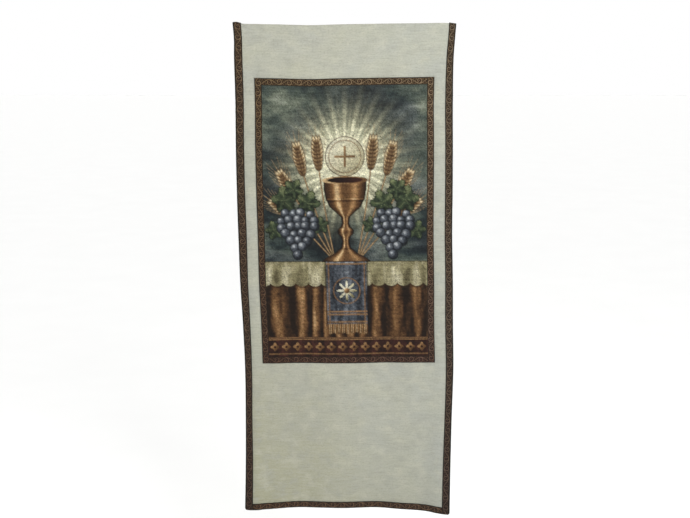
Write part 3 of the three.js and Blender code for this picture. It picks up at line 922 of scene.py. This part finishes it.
corner_flat, _, middles = face_corners(panel.data)
corner_points = np.empty(len(corner_flat), dtype=np.int32)
panel.data.loops.foreach_get("vertex_index", corner_points)
point_flat = np.zeros((len(panel.data.vertices), 2))
point_flat[corner_points] = corner_flat
yarn = np.ones((len(point_flat), 4), dtype=np.float32)
yarn[:, :3] = weave_picture(point_flat[:, 0] / MM, (point_flat[:, 1] - FIELD_TOP) / MM)
panel.data.color_attributes.new("yarn", "FLOAT_COLOR", "POINT").data.foreach_set("color", yarn.ravel())
beside_field = np.abs(middles[:, 0]) > FIELD_HALF_WIDTH
in_frame = beside_field | (middles[:, 1] < FIELD_TOP) | (middles[:, 1] > FIELD_BOTTOM)
panel.data.polygons.foreach_set("material_index", in_frame.astype(np.int32))
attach(panel, "root")
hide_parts("picture_panel")

# Side and lower braids
# Woven braid with the same running scroll, laid on the edge of the cloth and turned round it. The
# side ones run from the end of the turned-over top down to the corners; the lower one fits between.
BRAID_FACE = SEWN_ON + BRAID_THICKNESS
LIP_TOP = FALL - BRAID_THICKNESS
STEP = 0.02 * MM
BRAID_SPACING = 2.6 * MM
INNER_ROLL = 0.45 * MM
OUTER_ROLL = 0.95 * MM
TURNED_IN = 3.5 * MM
TURNED_RISE = 0.22 * MM
CORNER_ROUND = 6 * MM
LOW_COUNTS = 5
TUCKED_UNDER = 0.3 * MM
ROLL_STEPS = 4
SIDE_SELVAGES = (1.9 * MM, 3.2 * MM)
LOWER_SELVAGES = (1.6 * MM, 2.4 * MM)


def rolled(distance, radius):
    """How far a rounded edge falls away, from the distance to the edge"""
    share = np.clip(1 - distance / radius, 0, 1)
    return radius * (1 - np.sqrt(1 - share * share))


def braid_face(inner, outer):
    """The face of a braid, fuller where its own edges are turned in"""
    half = TURNED_IN / 2
    full = TURNED_RISE * (ridge(inner - half, half) + ridge(outer - half, half))
    return BRAID_FACE + full - rolled(inner, INNER_ROLL) - rolled(outer, OUTER_ROLL)


def braid_back(inner, outer):
    """The back of a braid, whose lip goes round the cloth's edge"""
    on_lip = outer < BRAID_THICKNESS + STEP / 2
    return np.where(on_lip, -CLOTH_FACE + rolled(outer, OUTER_ROLL), SEWN_ON)


def side_edges(across, along):
    """How far a place on a side braid lies from the braid's inner and outer edges"""
    return np.abs(across) - BRAID_INNER, np.minimum(HALF_WIDTH - np.abs(across), FALL - along)


def lower_edges(across, along):
    """The same on the lower braid"""
    return along - LOWER_BRAID_TOP, FALL - along


def add_braid(name, across_lines, along_lines, edges, weave, strip_of):
    """A braid as a closed sheet, with the map of its running scroll"""
    braid = add_sheet(name, across_lines, along_lines, lambda x, y: braid_back(*edges(x, y)),
                      lambda x, y: braid_face(*edges(x, y)), weave)
    add_scroll_map(braid, strip_of)
    return braid


def rounded_edge(edge, inward, radius):
    """Lines close together where an edge rolls over"""
    turns = np.linspace(0, math.pi / 2, ROLL_STEPS + 1)
    return [edge + inward * radius * (1 - math.cos(turn)) for turn in turns]


def braid_lines(inner, outer):
    """Lines across a braid, from its inner edge over the step of its lip to its outer edge"""
    lip = outer - BRAID_THICKNESS
    rolls = rounded_edge(inner, 1, INNER_ROLL) + [inner + TURNED_IN / 2, inner + TURNED_IN]
    lips = [outer - TURNED_IN, outer - TURNED_IN / 2, lip - STEP, lip]
    outer_rolls = [place for place in rounded_edge(outer, -1, OUTER_ROLL) if place > lip + STEP]
    return spaced(sorted(rolls + lips + outer_rolls), BRAID_SPACING)


def side_strip(flat, middle):
    """Along and across a side braid"""
    return np.stack([flat[:, 1] + TURNOVER, np.abs(flat[:, 0]) - BRAID_INNER - BRAID_WIDTH / 2], -1)


def lower_strip(flat, middle):
    """The same on the lower braid"""
    return np.stack([flat[:, 0], flat[:, 1] - LOWER_BRAID_TOP - LOWER_BRAID_WIDTH / 2], -1)


SIDE_YARNS = {"ground": "#2a1d0d", "flower": "#39281a", "leaf": "#51422f", "scroll": "#7d6c55",
              "selvage": "#231e12"}
LOWER_YARNS = {"ground": "#241509", "flower": "#322014", "leaf": "#4a3725", "scroll": "#735943",
               "selvage": "#1e170c"}
# Painted light on the braids: shade towards the lower end of the side ones, warm light on the left
SIDE_PAINTED_LIGHT = {"length": FALL, "low": "#c8bacb", "left": "#f9eee1"}
LOWER_PAINTED_LIGHT = {"length": FALL, "low": "#ffffff", "left": "#f9eee1"}
side_weave = scroll_weave("woven_scroll_braid", BRAID_WIDTH, SIDE_SELVAGES, SIDE_YARNS, SIDE_PAINTED_LIGHT)
lower_weave = scroll_weave("woven_lower_braid", LOWER_BRAID_WIDTH, LOWER_SELVAGES, LOWER_YARNS, LOWER_PAINTED_LIGHT)
outward_lines = braid_lines(BRAID_INNER, HALF_WIDTH)
down_lines = np.concatenate([
    spaced([-TURNOVER, -QUARTER_TURN], BRAID_SPACING)[:-1],
    fold_lines,
    spaced([QUARTER_TURN, PANEL_TOP, PANEL_BOTTOM, LOWER_BRAID_TOP, FALL - TURNED_IN,
            LIP_TOP - STEP, LIP_TOP], BRAID_SPACING)[1:],
    [place for place in sorted(rounded_edge(FALL, -1, OUTER_ROLL)) if place > LIP_TOP + STEP],
])


def round_corner(obj, side):
    """Draw the lower outer corner of a side braid in to a round one"""
    points = np.empty(3 * len(obj.data.vertices), dtype=np.float32)
    obj.data.vertices.foreach_get("co", points)
    points = points.reshape(-1, 3)
    above_lowest = points[:, 2] - points[:, 2].min()
    corner = points[np.argmax(side * points[:, 0] - points[:, 2] - LOW_COUNTS * above_lowest)]
    centre = corner + np.array([-side, 0, 1]) * CORNER_ROUND
    past_centre = np.stack([side * (points[:, 0] - centre[0]), centre[2] - points[:, 2]], -1)
    in_corner = (past_centre > 0).all(axis=1)
    from_centre = past_centre[in_corner]
    from_centre *= (from_centre.max(axis=1) / np.hypot(*from_centre.T))[:, None]
    points[in_corner, 0] = centre[0] + side * from_centre[:, 0]
    points[in_corner, 2] = centre[2] - from_centre[:, 1]
    obj.data.vertices.foreach_set("co", points.ravel())
    obj.data.update()


for side, name in ((-1, "left"), (1, "right")):
    lines = outward_lines if side > 0 else -outward_lines[::-1]
    braid = add_braid(f"scroll_braid_{name}", lines, down_lines, side_edges, side_weave, side_strip)
    round_corner(braid, side)
    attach(braid, "root")
    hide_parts(f"border_{name}")

lower_end = BRAID_INNER + TUCKED_UNDER
lower_across = spaced([-lower_end, lower_end], BRAID_SPACING)
lower_braid = add_braid("scroll_braid_lower", lower_across, braid_lines(LOWER_BRAID_TOP, FALL),
                        lower_edges, lower_weave, lower_strip)
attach(lower_braid, "root")
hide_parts("border_bottom")

# Sewing
# Machine stitches: brown thread on the face, beside the inner edge of each braid and round the
# picture, with a cream bobbin thread behind, and a cream row that holds the hem of the turned top.
STITCH_PITCH = 3.4 * MM
STITCH_LENGTH = 2.7 * MM
STITCH_SLANT = 0.09
THREAD_WIDTH = 0.55 * MM
SINK = 0.08 * MM
TWIST_LENGTH = 0.7 * MM
SEAM_INSET = 2.1 * MM
SEAM_END = 4 * MM
BEHIND_START = 8 * MM
HEM_SEAM_INSET = 1.6 * MM
HEM_SEAM_END = 6 * MM
SEAM_SPACING = 3 * MM
SIDE_SEAM_SPACING = 1.2 * MM


def sewing_thread(name, colour):
    """Twisted polyester and cotton sewing thread: slightly shiny, each stitch a small bright bead"""
    material, tree, shader = new_material(name)
    place = node(tree, "TexCoord").node.outputs["Object"]
    twist = node(tree, "TexNoise", [place, 1 / TWIST_LENGTH, 1])
    shade = node(tree, "MapRange", [twist, 0.3, 0.7, 0.75, 1.2])
    tone = node(tree, "VectorMath", [linear(colour)[:3], shade], operation="SCALE")
    fill(shader, {"Base Color": tone, "Roughness": 0.6, "Sheen Weight": 0.1})
    return material


def stitch_tree():
    """Turns lines into rows of separate stitches, one at each step of the pitch"""
    tree = bpy.data.node_groups.new("row_of_stitches", "GeometryNodeTree")
    for name, kind in (("Lines", "Geometry"), ("Pitch", "Float"), ("Length", "Float"), ("Thread", "Float"),
                       ("Material", "Material")):
        tree.interface.new_socket(name, in_out="INPUT", socket_type="NodeSocket" + kind)
    tree.interface.new_socket("Stitches", in_out="OUTPUT", socket_type="NodeSocketGeometry")
    given = node(tree, "NodeGroupInput").node.outputs
    rows = node(tree, "GeometryNodeMeshToCurve", [given["Lines"]])
    places = node(tree, "GeometryNodeCurveToPoints", [rows, given["Pitch"]], mode="LENGTH")
    bead = node(tree, "GeometryNodeMeshUVSphere", {"Segments": 6, "Rings": 4, "Radius": 0.5})
    size = node(tree, "CombineXYZ", [given["Thread"], given["Thread"], given["Length"]])
    slants = {"Min": (0, -STITCH_SLANT, 0), "Max": (0, STITCH_SLANT, 0), "Seed": 5}
    slant = node(tree, "FunctionNodeRandomValue", slants, data_type="FLOAT_VECTOR")
    turned = node(tree, "FunctionNodeRotateRotation", [places.node.outputs["Rotation"], slant],
                  rotation_space="LOCAL")
    stitches = node(tree, "GeometryNodeInstanceOnPoints",
                    {"Points": places, "Instance": bead, "Rotation": turned, "Scale": size})
    made = node(tree, "GeometryNodeRealizeInstances", [stitches])
    smooth = node(tree, "GeometryNodeSetShadeSmooth", [made])
    dyed = node(tree, "GeometryNodeSetMaterial", {"Geometry": smooth, "Material": given["Material"]})
    node(tree, "NodeGroupOutput", [dyed])
    return tree


def sew(name, rows, material):
    """Sew rows of stitches, each row a run of points, and make them one plain mesh"""
    points = np.concatenate(rows)
    row_ends = set(np.cumsum([len(row) for row in rows]) - 1)
    edges = [(place, place + 1) for place in range(len(points)) if place not in row_ends]
    lines = bpy.data.meshes.new(name + "_lines")
    lines.from_pydata(points.tolist(), edges, [])
    obj = add_object(name, lines)
    modifier = obj.modifiers.new("sewing", "NODES")
    modifier.node_group = stitches_tree
    values = {"Pitch": STITCH_PITCH, "Length": STITCH_LENGTH, "Thread": THREAD_WIDTH, "Material": material}
    for socket in stitches_tree.interface.items_tree:
        if socket.name in values:
            modifier[socket.identifier] = values[socket.name]
    evaluated = obj.evaluated_get(bpy.context.evaluated_depsgraph_get())
    sewn = bpy.data.meshes.new_from_object(evaluated)
    obj.modifiers.remove(modifier)
    obj.data = sewn
    bpy.data.meshes.remove(lines)
    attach(obj, "root")


def seam(start, end, offset, spacing=SEAM_SPACING):
    """Points of a straight seam on the cloth, between two places across and along it"""
    count = max(2, round(math.dist(start, end) / spacing))
    across, along = np.linspace(start, end, count).T
    return cloth_points(across, along, offset)


stitches_tree = stitch_tree()
brown_thread = sewing_thread("brown_sewing_thread", "#3a2c22")
cream_thread = sewing_thread("cream_sewing_thread", "#c9cab6")
seam_side = BRAID_INNER + SEAM_INSET
seam_low = LOWER_BRAID_TOP + SEAM_INSET
frame_side = PANEL_HALF_WIDTH - SEAM_INSET
frame_top = PANEL_TOP + SEAM_INSET
frame_low = PANEL_BOTTOM - SEAM_INSET
hem_line = HEM_WIDTH - TURNOVER - HEM_SEAM_INSET
behind = -CLOTH_FACE - SINK
braid_rows, braid_rows_behind, picture_rows, picture_rows_behind = [], [], [], []
for side in (-1, 1):
    place = side * seam_side
    low_end = (place, FALL - SEAM_END)
    braid_rows.append(seam((place, SEAM_END - TURNOVER), low_end, BRAID_FACE + SINK, SIDE_SEAM_SPACING))
    braid_rows_behind.append(seam((place, BEHIND_START), low_end, behind))
left_end, right_end = (SEAM_END - seam_side, seam_low), (seam_side - SEAM_END, seam_low)
braid_rows.append(seam(left_end, right_end, BRAID_FACE + SINK))
braid_rows_behind.append(seam(left_end, right_end, behind))
for rows, offset in ((picture_rows, PANEL_FACE + SINK), (picture_rows_behind, behind)):
    for place in (-frame_side, frame_side):
        rows.append(seam((place, frame_top), (place, frame_low), offset))
    for line in (frame_top, frame_low):
        rows.append(seam((-frame_side, line), (frame_side, line), offset))
hem_reach = seam_side - HEM_SEAM_END
hem_rows = [seam((-hem_reach, hem_line), (hem_reach, hem_line), CLOTH_FACE + SINK)]
sew("braid_stitches", braid_rows, brown_thread)
sew("picture_stitches", picture_rows, brown_thread)
sew("stitches_behind", braid_rows_behind + picture_rows_behind + hem_rows, cream_thread)

# Light and floor
# A plain pale room, lighter behind the cloth than in front, over a pale floor, and one soft lamp
# before the upper right of the cloth. The camera sees the room as plain white.
FLOOR_DROP = 0.32
FLOOR_HALF = 300
LAMP_PLACE = (1, -1.9, 0.6)
LAMP_AIM = (0.11, 0, -0.5)
LAMP_SIZE = 1
LAMP_POWER = 37
LIGHT_BEHIND = 1.8
LIGHT_BEFORE = 0
LIGHT_LOW = 0.97
RISES_TO = 0.2
BEHIND_FROM = 0.1
BEFORE_FROM = -0.3

bpy.context.scene.view_settings.view_transform = "Standard"
world = bpy.data.worlds.new("room")
bpy.context.scene.world = world
world.use_nodes = True
room_tree = world.node_tree
room_tree.nodes.clear()
looks_to = node(room_tree, "TexCoord").node.outputs["Generated"]
into_room, up_room = node(room_tree, "SeparateXYZ", [looks_to]).node.outputs[1:]
depth = node(room_tree, "MapRange", [into_room, BEFORE_FROM, BEHIND_FROM, LIGHT_BEFORE - LIGHT_LOW,
                                     LIGHT_BEHIND - LIGHT_LOW])
rise = node(room_tree, "MapRange", [up_room, 0, RISES_TO, 0, 1])
strength = node(room_tree, "Math", [depth, rise, LIGHT_LOW], operation="MULTIPLY_ADD")
seen = node(room_tree, "LightPath").node.outputs["Is Camera Ray"]
shown = node(room_tree, "Mix", [seen, strength, 1])
node(room_tree, "OutputWorld", [node(room_tree, "Background", [(1, 1, 1, 1), shown])])

floor_paint, floor_tree, floor_shader = new_material("white_floor_paint")
floor_place = node(floor_tree, "TexCoord").node.outputs["Object"]
floor_grain = node(floor_tree, "TexNoise", [floor_place, 3, 2])
floor_tone = node(floor_tree, "Mix", [floor_grain, linear("#fafaf9"), linear("#f6f6f5")], data_type="RGBA")
fill(floor_shader, {"Base Color": floor_tone, "Roughness": 0.9})
floor_level = cad_bounds[0][2] - FLOOR_DROP
floor_corners = [(x * FLOOR_HALF, y * FLOOR_HALF, floor_level)
                 for x, y in ((-1, -1), (1, -1), (1, 1), (-1, 1))]
floor_mesh = bpy.data.meshes.new("floor")
floor_mesh.from_pydata(floor_corners, [], [(0, 1, 2, 3)])
floor_mesh.materials.append(floor_paint)
add_object("floor", floor_mesh)

lamp_data = bpy.data.lights.new("lamp", "AREA")
lamp_data.size = LAMP_SIZE
lamp_data.energy = LAMP_POWER
lamp = add_object("lamp", lamp_data)
lamp.location = LAMP_PLACE
lamp.visible_camera = False
lamp_aim = np.array(LAMP_AIM) - np.array(LAMP_PLACE)
lamp.rotation_euler = (math.acos(-lamp_aim[2] / np.linalg.norm(lamp_aim)), 0,
                       math.atan2(lamp_aim[1], lamp_aim[0]) - math.pi / 2)
